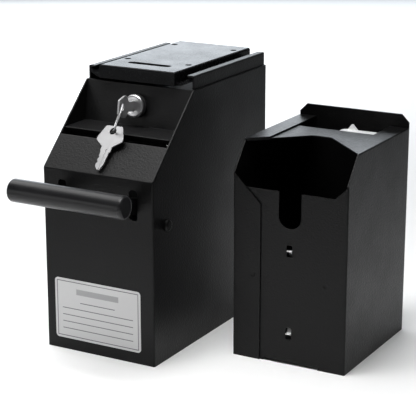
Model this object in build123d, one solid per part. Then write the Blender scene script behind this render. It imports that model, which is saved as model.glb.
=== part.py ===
from build123d import *
import os
from math import atan2, ceil, cos, degrees, hypot, pi, radians, sin, sqrt

# Under-counter safe for banknotes: a sheet-steel housing that hangs from a slide-in counter
# bracket, with a push-down lever, a note slot and a cam lock on its sloping face, and the
# removable note cassette that stands beside it.
# Millimetres. X to the right, Y to the back, Z up. The model is drawn with Y = 0 on the
# housing's front face and moved back by half its depth when it is written.

# Driving dimensions of the housing
HOUSING_WIDTH = 102.0
HOUSING_DEPTH = 188.0
SHEET = 1.5
KNEE_HEIGHT = 151.0
SLOPE_TOP_HEIGHT = 211.5
SLOPE_RUN = 64.0
CORNER_RADIUS = 1.4
BEND_RADIUS = 1.8
EDGE_BREAK = 0.5

# Rails on the top tray
RAIL_HEIGHT = 11.0
RAIL_LIP = 6.0
RAIL_FRONT_INSET = 2.5
RAIL_REAR_INSET = 1.0

# Counter bracket
BRACKET_SHEET = 2.0
BRACKET_RISE = 2.5
BRACKET_FLOOR_GAP = 2.7
BRACKET_WIDTH = 71.0
BRACKET_OVERHANG = 4.0
BRACKET_REAR_INSET = 0.5
BRACKET_FLAT_FLANGE = 4.0
BRACKET_RUNNING_GAP = 0.6
BRACKET_CORNER_GAP = 1.0
BOLT_SPACING_X = 58.0
BOLT_SPACING_Y = 76.0
BOLT_HOLE_DIAMETER = 5.5
BOLT_REAR_INSET = 18.0
BRACKET_SLOT_LENGTH = 40.0
BRACKET_SLOT_WIDTH = 7.5
BRACKET_SLOT_SETBACK = 20.5
LOCK_TAB_WIDTH = 30.0
LOCK_TAB_DROP = 7.0

# Note slot and what guides the notes
NOTE_SLOT_HEIGHT = 6.2
LEDGE_DROP = 33.23
LOWER_LIP = 6.0
UPPER_LIP = 8.0
LEDGE_ROUNDING = 0.5
CHUTE_SHEET = 1.2
CHUTE_END_Y = 65.0
CHUTE_END_DROP = 3.5
FINGER_SLOT_WIDTH = 8.0
FINGER_SLOT_START_Y = 40.0

# Lever
ARM_THICKNESS = 5.0
ARM_OFFSET = 33.0
ARM_HALF_HEIGHT = 6.5
ARM_GRIP_END_RADIUS = 5.6
FINGER_HALF_HEIGHT = 6.0
FINGER_TIP_RADIUS = 3.0
GRIP_Y = -39.6
GRIP_HEIGHT = 141.5
GRIP_LENGTH = 104.7
GRIP_DIAMETER = 18.4
GRIP_WALL = 3.2
GRIP_CAP_THICKNESS = 3.4
GRIP_CAP_ROUNDING = 2.6
GRIP_CAP_SPIGOT = 7.0
GRIP_CORE_DIAMETER = 6.0
GRIP_CORE_FIT = 0.03
ARM_BEND_Y = 8.0
ARM_BEND_HEIGHT = 128.1
PIVOT_Y = 20.8
PIVOT_HEIGHT = 112.1
PIVOT_DIAMETER = 6.0
RUNNING_GAP = 0.05
PIVOT_SLEEVE_DIAMETER = 11.6
FINGER_TIP_Y = 58.0
FINGER_TIP_LIFT = 8.6
FINGER_TIP_FLAT = 2.4
ARM_SLOT_WIDTH = 7.6
ARM_SLOT_BOTTOM = 118.5
ARM_SLOT_TOP = 143.0
ARM_SLOT_ROUNDING = 2.5
SHAFT_CAP_DIAMETER = 9.5
SHAFT_CAP_HEIGHT = 2.4
STOP_BAR_DIAMETER = 6.0
STOP_BAR_DISTANCE = 40.0
STOP_GAP = 0.3
BLADE_SHEET = 1.5
BLADE_WIDTH = 80.0
BLADE_HEIGHT = 12.0
BLADE_CHUTE_GAP = 1.5
PAD_THICKNESS = 2.5
PAD_HEIGHT = 9.0
PAD_CHUTE_GAP = 1.2
PAD_END_INSET = 2.0

# Return spring
SPRING_WIRE = 1.4
SPRING_RADIUS = 7.0
SPRING_TURNS = 6
SPRING_PITCH = 1.95
SPRING_LEG_ANGLE = 126.9
SPRING_HOOK = 7.5
SPRING_HOOK_RADIUS = 2.0
SPRING_START_GAP = 1.8

# Lock, set into the slope on an axis a little above the horizontal
LOCK_X = 0.0
LOCK_DROP = 17.2
LOCK_TILT = 8.0
HEAD_DIAMETER = 19.0
HEAD_FACE_DIAMETER = 15.0
HEAD_LENGTH = 5.0
HEAD_BACK = 2.7
BARREL_DIAMETER = 16.0
BARREL_REAR = 13.2
BARREL_CLEARANCE = 0.1
PLUG_DIAMETER = 11.0
PLUG_REAR = 13.4
KEYWAY_WIDTH = 2.2
KEYWAY_HEIGHT = 8.4
KEYWAY_DEPTH = 17.0
CARRIER_WIDTH = 34.0
CARRIER_HEIGHT = 26.0
CARRIER_CORNER = 3.0
WASHER_DIAMETER = 24.0
WASHER_THICKNESS = 1.0
NUT_ACROSS_FLATS = 22.0
NUT_THICKNESS = 3.6
CAM_THICKNESS = 2.0
CAM_WIDTH = 14.0
CAM_REACH = 29.0
CAM_SCREW_DIAMETER = 8.0
CAM_SCREW_HEAD = 2.6
CAM_SLOT_MARGIN = 2.0
CAM_SLOT_LENGTH = 9.0

# Keys and ring
KEY_THICKNESS = 1.6
BOW_WIDTH = 23.8
BOW_TOP_WIDTH = 14.8
BOW_HEIGHT = 18.8
BOW_SHOULDER = 5.5
BOW_HOLE_DIAMETER = 6.0
BOW_HOLE_EDGE = 4.7
BLADE_KEY_WIDTH = 7.6
BLADE_KEY_LENGTH = 20.8
KEY_NECK_WIDTH = 9.2
KEY_GROOVE_WIDTH = 1.5
KEY_GROOVE_DEPTH = 0.4
BOW_ROUNDING = 1.6
INSERTED_BOW_SCALE = 0.76
INSERTED_BOW_GAP = 7.1
RING_WIRE = 1.3
RING_RADIUS = 11.0
RING_TURN = 216.0
RING_HANG = 0.85
SPARE_HOLE_X = 0.5
HOLE_SPAN = 21.625
SPARE_HOLE_LIFT = 5.0
SPARE_TILT = 4.0
SPARE_LEAN = 1.0

# Housing inside and back
HEADER_HEIGHT = 21.5
HEADER_FLANGE = 8.0
STOP_ANGLE_HEIGHT = 12.0
STOP_ANGLE_WIDTH = 60.0
STOP_ANGLE_FLANGE = 14.0
STOP_ANGLE_SETBACK = 2.5
KEEPER_GAP = 1.6
KEEPER_BACKLASH = 1.0
KEEPER_WIDTH = 20.0
KEEPER_FLANGE = 10.0

# Label plate
LABEL_WIDTH = 81.0
LABEL_HEIGHT = 51.0
LABEL_THICKNESS = 0.4
LABEL_CENTRE_X = -1.8
LABEL_CENTRE_HEIGHT = 35.2
LABEL_CORNER = 3.0

# Cassette, standing beside the housing
CASSETTE_X = 140.0
CASSETTE_Y = 56.0
CASSETTE_SIDE_GAP = 0.5
CASSETTE_FRONT_GAP = 0.5
CASSETTE_REAR_GAP = 1.0
CASSETTE_SHEET = 1.2
CASSETTE_HEADROOM = 14.0
CASSETTE_SLOPE_DROP = 21.9
CASSETTE_SLOPE_RUN = 18.0
REAR_PANEL_GAP = 1.6
REAR_PANEL_CHAMFER = 6.5
FRONT_EDGE_DROP = 11.1
FRONT_CORNER_CUT = 11.5
FLAP_WIDTH = 24.0
FLAP_CHAMFER = 12.0
TOP_FLANGE = 15.0
MOUTH_DEPTH = 40.0
MOUTH_FLAT = 16.0
MOUTH_ROUNDING = 7.0
TOP_PLATE_SETBACK = 36.0
NOTCH_WIDTH = 19.2
NOTCH_DEPTH = 29.1
LEAF_SLOT_WIDTH = 5.0
LEAF_SLOT_HEIGHT = 9.6
LEAF_SLOT_LOW = 26.1
LEAF_SLOT_NOTCH_GAP = 18.1
LEAF_SLOT_ROUNDING = 1.2
FOOT_RECESS_WIDTH = 48.0
FOOT_RECESS_OFFSET = 2.0
FOOT_RECESS_HEIGHT = 2.0
CASSETTE_FLOOR_LIFT = 2.0
LEAF_WIDTH = 4.2
LEAF_SHEET = 0.7
LEAF_BOW = 12.0
LEAF_END_INSET = 0.4
WELD_DIMPLE_RADIUS = 5.0
WELD_DIMPLE_DEPTH = 0.5
WELD_DIMPLE_X = 31.4
WELD_DIMPLE_HEIGHT = 70.8
DETENT_SHEET = 0.9
DETENT_WIDTH = 32.5
DETENT_LEFT = 1.0
DETENT_LENGTH = 30.0
DETENT_SETBACK = 23.0
DETENT_CORNER = 4.5
DETENT_PEAK_WIDTH = 10.5
DETENT_PEAK_HEIGHT = 4.4
DETENT_PEAK_LEFT = 3.2

# Values worked out from the driving dimensions
HALF_WIDTH = HOUSING_WIDTH / 2
INNER_HALF = HALF_WIDTH - SHEET
SLOPE_LENGTH = hypot(SLOPE_RUN, SLOPE_TOP_HEIGHT - KNEE_HEIGHT)
UP_Y = SLOPE_RUN / SLOPE_LENGTH
UP_Z = (SLOPE_TOP_HEIGHT - KNEE_HEIGHT) / SLOPE_LENGTH
NOTE_SLOT_DISTANCE = (SLOPE_TOP_HEIGHT - LEDGE_DROP - KNEE_HEIGHT) / UP_Z - NOTE_SLOT_HEIGHT
TRAY_FLOOR = SLOPE_TOP_HEIGHT - SHEET
BRACKET_FRONT = SLOPE_RUN - BRACKET_OVERHANG
RAIL_TOP = SLOPE_TOP_HEIGHT + RAIL_HEIGHT
TILT_SIN = sin(radians(LOCK_TILT))
TILT_COS = cos(radians(LOCK_TILT))
PANEL_LEAN = TILT_SIN / TILT_COS
PANEL_RUN = SHEET / TILT_COS
LOCK_HEIGHT = SLOPE_TOP_HEIGHT - LOCK_DROP
LOCK_Y = SLOPE_RUN - LOCK_DROP * PANEL_LEAN
PIVOT_BORE = PIVOT_DIAMETER + 2 * RUNNING_GAP
REAR_OPENING_HEIGHT = TRAY_FLOOR - HEADER_HEIGHT
STOP_ANGLE_REAR = CHUTE_END_Y + STOP_ANGLE_SETBACK
CASSETTE_SEAT = STOP_ANGLE_REAR + CASSETTE_FRONT_GAP
CASSETTE_WIDTH = 2 * (INNER_HALF - CASSETTE_SIDE_GAP)
CASSETTE_DEPTH = HOUSING_DEPTH - CASSETTE_SEAT - CASSETTE_REAR_GAP
CASSETTE_TOP = REAR_OPENING_HEIGHT - CASSETTE_HEADROOM
CASSETTE_KNEE = CASSETTE_TOP - CASSETTE_SLOPE_DROP
REAR_PANEL_HEIGHT = REAR_OPENING_HEIGHT - SHEET - REAR_PANEL_GAP
FRONT_EDGE_HEIGHT = CASSETTE_KNEE - FRONT_EDGE_DROP
NOTCH_BOTTOM = FRONT_EDGE_HEIGHT - NOTCH_DEPTH
LEAF_SLOT_HIGH = NOTCH_BOTTOM - LEAF_SLOT_NOTCH_GAP
DETENT_TAIL = CASSETTE_DEPTH - DETENT_SETBACK
CHUTE_START_Y = (NOTE_SLOT_DISTANCE - SHEET) * UP_Y + LOWER_LIP * UP_Z
CHUTE_START_HEIGHT = KNEE_HEIGHT + (NOTE_SLOT_DISTANCE - SHEET) * UP_Z - LOWER_LIP * UP_Y
CHUTE_END_HEIGHT = KNEE_HEIGHT - CHUTE_END_DROP
CHUTE_LENGTH = hypot(CHUTE_END_Y - CHUTE_START_Y, CHUTE_START_HEIGHT - CHUTE_END_HEIGHT)
CHUTE_Y = (CHUTE_END_Y - CHUTE_START_Y) / CHUTE_LENGTH
CHUTE_Z = (CHUTE_END_HEIGHT - CHUTE_START_HEIGHT) / CHUTE_LENGTH
CHUTE_AT_TIP = CHUTE_START_HEIGHT + (FINGER_TIP_Y - CHUTE_START_Y) * CHUTE_Z / CHUTE_Y
FINGER_TIP_HEIGHT = CHUTE_AT_TIP + FINGER_TIP_LIFT

SLOPE = Plane(origin=(0, 0, KNEE_HEIGHT), x_dir=(1, 0, 0), z_dir=(0, -UP_Z, UP_Y))
LOCK = Plane(origin=(LOCK_X, LOCK_Y, LOCK_HEIGHT), x_dir=(1, 0, 0), z_dir=(0, -TILT_COS, TILT_SIN))


def slope_point(distance, depth=0.0):
    """Point in the YZ plane, up the slope by distance and inward by depth."""
    return (distance * UP_Y + depth * UP_Z, KNEE_HEIGHT + distance * UP_Z - depth * UP_Y)


def block(x0, x1, y0, y1, z0, z1):
    """Plain block between two corners."""
    return Pos((x0 + x1) / 2, (y0 + y1) / 2, (z0 + z1) / 2) * Box(x1 - x0, y1 - y0, z1 - z0)


def side_shape(points, x0, x1):
    """Outline in the YZ plane, extruded across from x0 to x1."""
    face = make_face(Polyline(*points, close=True))
    return extrude(Plane.YZ.offset(x0) * face, amount=x1 - x0)


def front_shape(points, y0, y1):
    """Outline in the XZ plane, extruded back from y0 to y1."""
    face = make_face(Polyline(*points, close=True))
    return extrude(Plane(origin=(0, y1, 0), x_dir=(1, 0, 0), z_dir=(0, -1, 0)) * face, amount=y1 - y0)


def rod(diameter, x0, x1, y, z):
    """Round bar along X."""
    return Pos((x0 + x1) / 2, y, z) * Rot(0, 90, 0) * Cylinder(diameter / 2, x1 - x0)


def bar_shape(start, end, start_radius, end_radius, x0, x1):
    """Flat bar in the YZ plane with round ends, tapering from one radius to the other."""
    dy, dz = end[0] - start[0], end[1] - start[1]
    length = hypot(dy, dz)
    ny, nz = -dz / length, dy / length
    middle = side_shape(
        [
            (start[0] + ny * start_radius, start[1] + nz * start_radius),
            (end[0] + ny * end_radius, end[1] + nz * end_radius),
            (end[0] - ny * end_radius, end[1] - nz * end_radius),
            (start[0] - ny * start_radius, start[1] - nz * start_radius),
        ],
        x0,
        x1,
    )
    return middle + rod(2 * start_radius, x0, x1, *start) + rod(2 * end_radius, x0, x1, *end)


def write(node, shape):
    """Write one sub-part, moved so that the origin is under the housing's middle."""
    moved = Pos(0, -HOUSING_DEPTH / 2, 0) * shape
    export_step(moved, "parts/" + node + ".step")


def side_outline():
    return [
        (0, 0),
        (0, KNEE_HEIGHT),
        (SLOPE_RUN, SLOPE_TOP_HEIGHT),
        (HOUSING_DEPTH, SLOPE_TOP_HEIGHT),
        (HOUSING_DEPTH, 0),
    ]


def housing_wrap():
    """Two side walls, and the front with the lower slope panel and its inward lip."""
    walls = []
    for inner, outer in ((INNER_HALF, HALF_WIDTH), (-HALF_WIDTH, -INNER_HALF)):
        wall = side_shape(side_outline(), inner, outer)
        outside = wall.faces().sort_by(Axis.X)[-1 if inner > 0 else 0]
        front = outside.edges().sort_by(Axis.Y)[0]
        rest = [e for e in outside.edges() if e.center().Z > 1 and e.center() != front.center()]
        wall = fillet([front], CORNER_RADIUS)
        wall = chamfer(edges_like(wall, rest), EDGE_BREAK)
        walls.append(wall)
    top_out = slope_point(NOTE_SLOT_DISTANCE)
    top_in = slope_point(NOTE_SLOT_DISTANCE - SHEET, SHEET)
    panel = side_shape(
        [
            (0, 0),
            (0, KNEE_HEIGHT),
            top_out,
            slope_point(NOTE_SLOT_DISTANCE, LOWER_LIP),
            slope_point(NOTE_SLOT_DISTANCE - SHEET, LOWER_LIP),
            top_in,
            (SHEET, KNEE_HEIGHT + SHEET * (UP_Z / UP_Y) - SHEET / UP_Y),
            (SHEET, 0),
        ],
        -INNER_HALF,
        INNER_HALF,
    )
    bends = [
        e
        for e in panel.edges().filter_by(Axis.X)
        if near(e, (0, KNEE_HEIGHT)) or near(e, top_out)
    ]
    panel = fillet(bends, SHEET * 0.9)
    shell = walls[0] + walls[1] + panel
    for side in (-1, 1):
        shell -= arm_slot(side)
        shell -= rod(PIVOT_BORE, side * HALF_WIDTH - 3, side * HALF_WIDTH + 3, PIVOT_Y, PIVOT_HEIGHT)
    return shell


def near(edge, point, reach=0.01):
    """True for an edge whose middle lies at this point of the YZ plane."""
    middle = edge.center()
    return hypot(middle.Y - point[0], middle.Z - point[1]) < reach


def edges_like(shape, edges, reach=1.6):
    """The shape's edges that still run where the given edges ran."""
    found = []
    for edge in shape.edges():
        for wanted in edges:
            apart = (edge.center() - wanted.center()).length
            if apart < reach and abs(edge.center().X - wanted.center().X) < 0.01:
                if abs(edge.length - wanted.length) < 2 * CORNER_RADIUS + 0.1:
                    found.append(edge)
    return found


def arm_slot(side):
    """Upright slot in the front wall that one lever arm passes through."""
    middle = side * ARM_OFFSET
    cut = block(
        middle - ARM_SLOT_WIDTH / 2,
        middle + ARM_SLOT_WIDTH / 2,
        -1,
        SHEET + 1,
        ARM_SLOT_BOTTOM,
        ARM_SLOT_TOP,
    )
    return fillet(cut.edges().filter_by(Axis.Y), ARM_SLOT_ROUNDING)


def housing_floor():
    return block(-INNER_HALF, INNER_HALF, SHEET, HOUSING_DEPTH, 0, SHEET)


def panel_y(height):
    """How far back the lock panel's outer face is at this height."""
    return SLOPE_RUN - (SLOPE_TOP_HEIGHT - height) * PANEL_LEAN


def lock_panel():
    """Steep panel that carries the lock, with a level ledge below it folded in over the note slot."""
    start = NOTE_SLOT_DISTANCE + NOTE_SLOT_HEIGHT
    front = slope_point(start)
    ledge = front[1]
    under = ledge - SHEET
    lip_depth = ((start + SHEET) * UP_Z + KNEE_HEIGHT - under) / UP_Y
    panel = side_shape(
        [
            front,
            (panel_y(ledge), ledge),
            (SLOPE_RUN, SLOPE_TOP_HEIGHT),
            (SLOPE_RUN + PANEL_RUN, SLOPE_TOP_HEIGHT),
            (SLOPE_RUN + PANEL_RUN, TRAY_FLOOR),
            (panel_y(TRAY_FLOOR) + PANEL_RUN, TRAY_FLOOR),
            (panel_y(under) + PANEL_RUN, under),
            slope_point(start + SHEET, lip_depth),
            slope_point(start + SHEET, UPPER_LIP),
            slope_point(start, UPPER_LIP),
        ],
        -INNER_HALF,
        INNER_HALF,
    )
    bends = [e for e in panel.edges().filter_by(Axis.X) if near(e, front) or near(e, (SLOPE_RUN, SLOPE_TOP_HEIGHT))]
    panel = fillet(bends, LEDGE_ROUNDING)
    hole = LOCK * Cylinder(BARREL_DIAMETER / 2 + BARREL_CLEARANCE, 4 * SHEET)
    return panel - hole


def top_tray():
    """Tray on top of the housing, its sides turned up and in to make two rails."""
    front = SLOPE_RUN
    floor = block(-INNER_HALF, INNER_HALF, front + PANEL_RUN, HOUSING_DEPTH, TRAY_FLOOR, SLOPE_TOP_HEIGHT)
    rail_front = front + RAIL_FRONT_INSET
    rail_rear = HOUSING_DEPTH - RAIL_REAR_INSET
    tray = floor
    for side in (-1, 1):
        outer = side * INNER_HALF
        inner = side * (INNER_HALF - SHEET)
        lip = side * (INNER_HALF - RAIL_LIP)
        rail = front_shape(
            [
                (outer, TRAY_FLOOR),
                (outer, RAIL_TOP),
                (lip, RAIL_TOP),
                (lip, RAIL_TOP - SHEET),
                (inner, RAIL_TOP - SHEET),
                (inner, TRAY_FLOOR),
            ],
            rail_front,
            rail_rear,
        )
        bend = [
            e
            for e in rail.edges().filter_by(Axis.Y)
            if abs(e.center().X - outer) < 0.01 and abs(e.center().Z - RAIL_TOP) < 0.01
        ]
        tray += fillet(bend, SHEET * 0.8)
    cam_middle = PLUG_REAR + CAM_THICKNESS / 2
    rise = (TRAY_FLOOR - LOCK_HEIGHT + cam_middle * TILT_SIN) / TILT_COS
    cam_y = LOCK_Y + cam_middle * TILT_COS + rise * TILT_SIN
    left = LOCK_X - CAM_WIDTH / 2 - CAM_SLOT_MARGIN
    right = LOCK_X + sqrt(CAM_REACH**2 - rise**2) + CAM_SLOT_MARGIN
    half = CAM_SLOT_LENGTH / 2
    return tray - block(left, right, cam_y - half, cam_y + half, TRAY_FLOOR - SHEET, RAIL_TOP)


def rear_header():
    """Strip that closes the back above the cassette, with a stiffening flange."""
    strip = block(-INNER_HALF, INNER_HALF, HOUSING_DEPTH - SHEET, HOUSING_DEPTH, REAR_OPENING_HEIGHT, TRAY_FLOOR)
    flange = block(
        -INNER_HALF,
        INNER_HALF,
        HOUSING_DEPTH - HEADER_FLANGE,
        HOUSING_DEPTH - SHEET,
        REAR_OPENING_HEIGHT,
        REAR_OPENING_HEIGHT + SHEET,
    )
    return strip + flange


def chute_point(along, lift):
    """Point in the YZ plane, measured down the chute from its start and square up from it."""
    y = CHUTE_START_Y + along * CHUTE_Y - lift * CHUTE_Z
    return y, CHUTE_START_HEIGHT + along * CHUTE_Z + lift * CHUTE_Y


def note_chute():
    """Plate that carries the notes from the slot to the cassette, slotted for the lever fingers."""
    drop = CHUTE_SHEET / CHUTE_Y
    y0, z0 = CHUTE_START_Y, CHUTE_START_HEIGHT
    y1, z1 = CHUTE_END_Y, CHUTE_END_HEIGHT
    plate = side_shape([(y0, z0), (y1, z1), (y1, z1 - drop), (y0, z0 - drop)], -INNER_HALF, INNER_HALF)
    for side in (-1, 1):
        middle = side * ARM_OFFSET
        half = FINGER_SLOT_WIDTH / 2
        y0 = FINGER_SLOT_START_Y
        plate -= block(middle - half, middle + half, y0, y1 + 1, z1 - 2 * drop, CHUTE_START_HEIGHT)
    return plate


def finger_direction():
    dy = FINGER_TIP_Y - PIVOT_Y
    dz = FINGER_TIP_HEIGHT - PIVOT_HEIGHT
    length = hypot(dy, dz)
    return dy / length, dz / length


def stop_bar():
    """Round bar that the lever fingers rest on."""
    dy, dz = finger_direction()
    reach = FINGER_HALF_HEIGHT + STOP_GAP + STOP_BAR_DIAMETER / 2
    y = PIVOT_Y + STOP_BAR_DISTANCE * dy + reach * dz
    z = PIVOT_HEIGHT + STOP_BAR_DISTANCE * dz - reach * dy
    return rod(STOP_BAR_DIAMETER, -INNER_HALF, INNER_HALF, y, z)


def cassette_stop():
    """Angle on the floor that the cassette is pushed up against."""
    rear = STOP_ANGLE_REAR
    half = STOP_ANGLE_WIDTH / 2
    upright = block(-half, half, rear - SHEET, rear, SHEET, SHEET + STOP_ANGLE_HEIGHT)
    foot = block(-half, half, rear - STOP_ANGLE_FLANGE, rear - SHEET, SHEET, 2 * SHEET)
    return upright + foot


def detent_keeper():
    """Plate hung from the tray that the cassette's detent spring clicks behind."""
    front = CASSETTE_SEAT + DETENT_TAIL + KEEPER_BACKLASH
    bottom = CASSETTE_TOP + SHEET + KEEPER_GAP
    x0, x1 = DETENT_LEFT, DETENT_LEFT + KEEPER_WIDTH
    hung = block(x0, x1, front, front + SHEET, bottom, TRAY_FLOOR)
    foot = block(x0, x1, front + SHEET, front + KEEPER_FLANGE, TRAY_FLOOR - SHEET, TRAY_FLOOR)
    return hung + foot


def lock_carrier():
    """Plate welded behind the lock panel, so that the lock is clamped to double metal."""
    outline = RectangleRounded(CARRIER_WIDTH, CARRIER_HEIGHT, CARRIER_CORNER)
    outline -= Circle(BARREL_DIAMETER / 2 + BARREL_CLEARANCE)
    return LOCK * Pos(0, 0, -2 * SHEET) * extrude(outline, amount=SHEET)


def lock_tube(outer, inner, z0, z1):
    """Ring round the lock's axis between two distances along it."""
    ring = Pos(0, 0, (z0 + z1) / 2) * (Cylinder(outer / 2, z1 - z0) - Cylinder(inner / 2, z1 - z0 + 1))
    return LOCK * ring


def lock_barrel():
    """Fixed lock body: domed head in the slope, threaded barrel behind it."""
    face = HEAD_BACK + HEAD_LENGTH
    head_radius, face_radius = HEAD_DIAMETER / 2, HEAD_FACE_DIAMETER / 2
    shoulder = face - (head_radius - face_radius)
    profile = make_face(
        Polyline((0, -BARREL_REAR), (BARREL_DIAMETER / 2, -BARREL_REAR), (BARREL_DIAMETER / 2, HEAD_BACK),
                 (head_radius, HEAD_BACK), (head_radius, shoulder))
        + RadiusArc((head_radius, shoulder), (face_radius, face), -(head_radius - face_radius) * 1.05)
        + Polyline((face_radius, face), (0, face), (0, -BARREL_REAR))
    )
    body = revolve(Plane.XZ * profile, Axis.Z)
    bore = Cylinder(PLUG_DIAMETER / 2 + RUNNING_GAP, 4 * (face + BARREL_REAR))
    return LOCK * (body - bore)


def lock_plug():
    """Turning core with the keyway in its face."""
    face = HEAD_BACK + HEAD_LENGTH - 0.4
    plug = Pos(0, 0, (face - PLUG_REAR) / 2) * Cylinder(PLUG_DIAMETER / 2, face + PLUG_REAR)
    keyway = Pos(0, 0, face - KEYWAY_DEPTH / 2 + 1) * Box(KEYWAY_WIDTH, KEYWAY_HEIGHT, KEYWAY_DEPTH + 2)
    return LOCK * (plug - keyway)


def lock_nut():
    rear = 2 * SHEET + WASHER_THICKNESS
    across_corners = NUT_ACROSS_FLATS / sqrt(3)
    nut = extrude(RegularPolygon(across_corners, 6) - Circle(BARREL_DIAMETER / 2), amount=NUT_THICKNESS)
    return LOCK * Pos(0, 0, -rear - NUT_THICKNESS) * nut


def lock_cam():
    """Cam on the back of the plug, pointing sideways while the lock is open."""
    arm = SlotOverall(CAM_REACH + CAM_WIDTH / 2, CAM_WIDTH)
    arm = Pos((CAM_REACH - CAM_WIDTH / 2) / 2, 0) * arm
    cam = extrude(arm - Circle(2.1), amount=CAM_THICKNESS)
    return LOCK * Pos(0, 0, -PLUG_REAR - CAM_THICKNESS) * cam


def cam_screw():
    """Screw into the back of the plug that holds the cam."""
    head = Pos(0, 0, -CAM_SCREW_HEAD / 2) * Cylinder(CAM_SCREW_DIAMETER / 2, CAM_SCREW_HEAD)
    head = fillet(head.edges().group_by(Axis.Z)[0], 1.0)
    head -= Pos(0, 0, -CAM_SCREW_HEAD) * Box(1.2, CAM_SCREW_DIAMETER + 1, 1.6)
    shank = Pos(0, 0, CAM_THICKNESS / 2) * Cylinder(2.0, CAM_THICKNESS)
    return LOCK * Pos(0, 0, -PLUG_REAR - CAM_THICKNESS) * (head + shank)


def bow_face(scale):
    """Key bow: a six-sided plate, its neck at the origin and its top towards +Y."""
    half, top, high = BOW_WIDTH / 2 * scale, BOW_TOP_WIDTH / 2 * scale, BOW_HEIGHT * scale
    shoulder = BOW_SHOULDER * scale
    neck = KEY_NECK_WIDTH / 2 * scale
    outline = make_face(
        Polyline(
            (-neck, 0), (neck, 0), (half, shoulder), (half * 0.97, shoulder + 3), (top, high),
            (-top, high), (-half * 0.97, shoulder + 3), (-half, shoulder), close=True,
        )
    )
    outline = fillet(outline.vertices().sort_by(Axis.Y)[2:], BOW_ROUNDING * scale)
    return outline - Pos(0, high - BOW_HOLE_EDGE) * Circle(BOW_HOLE_DIAMETER / 2)


def key_in_lock():
    """Key in the lock: short blade in the keyway and the bow standing out on edge."""
    face = HEAD_BACK + HEAD_LENGTH
    bow = extrude(bow_face(INSERTED_BOW_SCALE), amount=KEY_THICKNESS / 2, both=True)
    bow = Pos(0, 0, face + INSERTED_BOW_GAP) * Rot(0, 90, 90) * bow
    length = KEYWAY_DEPTH - 4 + INSERTED_BOW_GAP
    blade = Pos(0, 0, face + INSERTED_BOW_GAP - length / 2) * Box(KEY_THICKNESS, BLADE_KEY_WIDTH, length)
    return LOCK * (bow + blade)


def inserted_hole():
    """Middle of the hole in the inserted key's bow."""
    along = HEAD_BACK + HEAD_LENGTH + INSERTED_BOW_GAP + BOW_HEIGHT * INSERTED_BOW_SCALE - BOW_HOLE_EDGE
    return LOCK.from_local_coords(Vector(0, 0, along))


def spare_plane():
    """Plane of the hanging key at its hole, one ring's span down the slope from the other key's hole."""
    top = inserted_hole()
    along = top.Y * UP_Y + (top.Z - KNEE_HEIGHT) * UP_Z
    above = (top.Z - KNEE_HEIGHT) * UP_Y - top.Y * UP_Z
    reach = sqrt(HOLE_SPAN**2 - (above - SPARE_HOLE_LIFT) ** 2 - (SPARE_HOLE_X - LOCK_X) ** 2)
    y, z = slope_point(along - reach, -SPARE_HOLE_LIFT)
    tilt = radians(SPARE_TILT)
    normal = Vector(0, -UP_Z, UP_Y) * cos(tilt) - Vector(0, UP_Y, UP_Z) * sin(tilt)
    return Plane(origin=(SPARE_HOLE_X, y, z), x_dir=(1, 0, 0), z_dir=normal)


def spare_key():
    """Second key, hanging from the ring with its cut edge to the left."""
    neck = KEY_NECK_WIDTH / 2
    tip = -BLADE_KEY_LENGTH
    left = [
        (-neck, -3.6), (-3.9, -5.0), (-3.9, -8.5), (-3.1, -9.4), (-3.1, -10.2), (-3.9, -11.2), (-3.9, -12.4),
        (-3.0, -13.6), (-3.0, -14.6), (-3.8, -15.8), (-3.8, -17.5), (-2.6, -19.4),
    ]
    right = [(1.0, tip), (3.1, -16.0), (3.7, -5.2), (neck, -4.4)]
    blade = make_face(Polyline((-neck, 0.5), *left, (-1.0, tip), *right, (neck, 0.5), close=True))
    body = extrude(bow_face(1.0) + blade, amount=KEY_THICKNESS / 2, both=True)
    for side in (-1, 1):
        at = side * (KEY_THICKNESS - KEY_GROOVE_DEPTH) / 2
        body -= Pos(0.8, tip / 2 - 1, at) * Box(KEY_GROOVE_WIDTH, BLADE_KEY_LENGTH - 3, KEY_GROOVE_DEPTH)
    body = Pos(0, BOW_HOLE_EDGE - BOW_HEIGHT, 0) * body
    return spare_plane() * Rot(0, 0, SPARE_LEAN) * body


def ring_plane():
    """Plane and centre of the ring: through one bow's hole, and against the top of the hanging one's."""
    top = inserted_hole()
    low = spare_plane().from_local_coords(Vector(0, RING_HANG, 0))
    chord = top - low
    along = chord.normalized()
    side = along.cross(Vector(1, 0, 0)).normalized()
    turn = radians(RING_TURN)
    outward = side * cos(turn) + along.cross(side) * sin(turn)
    reach = sqrt(RING_RADIUS**2 - (chord.length / 2) ** 2)
    centre = (top + low) / 2 + outward * reach
    return Plane(origin=centre, x_dir=along, z_dir=along.cross(outward))


def key_ring():
    return ring_plane() * Torus(RING_RADIUS, RING_WIRE / 2)


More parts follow.
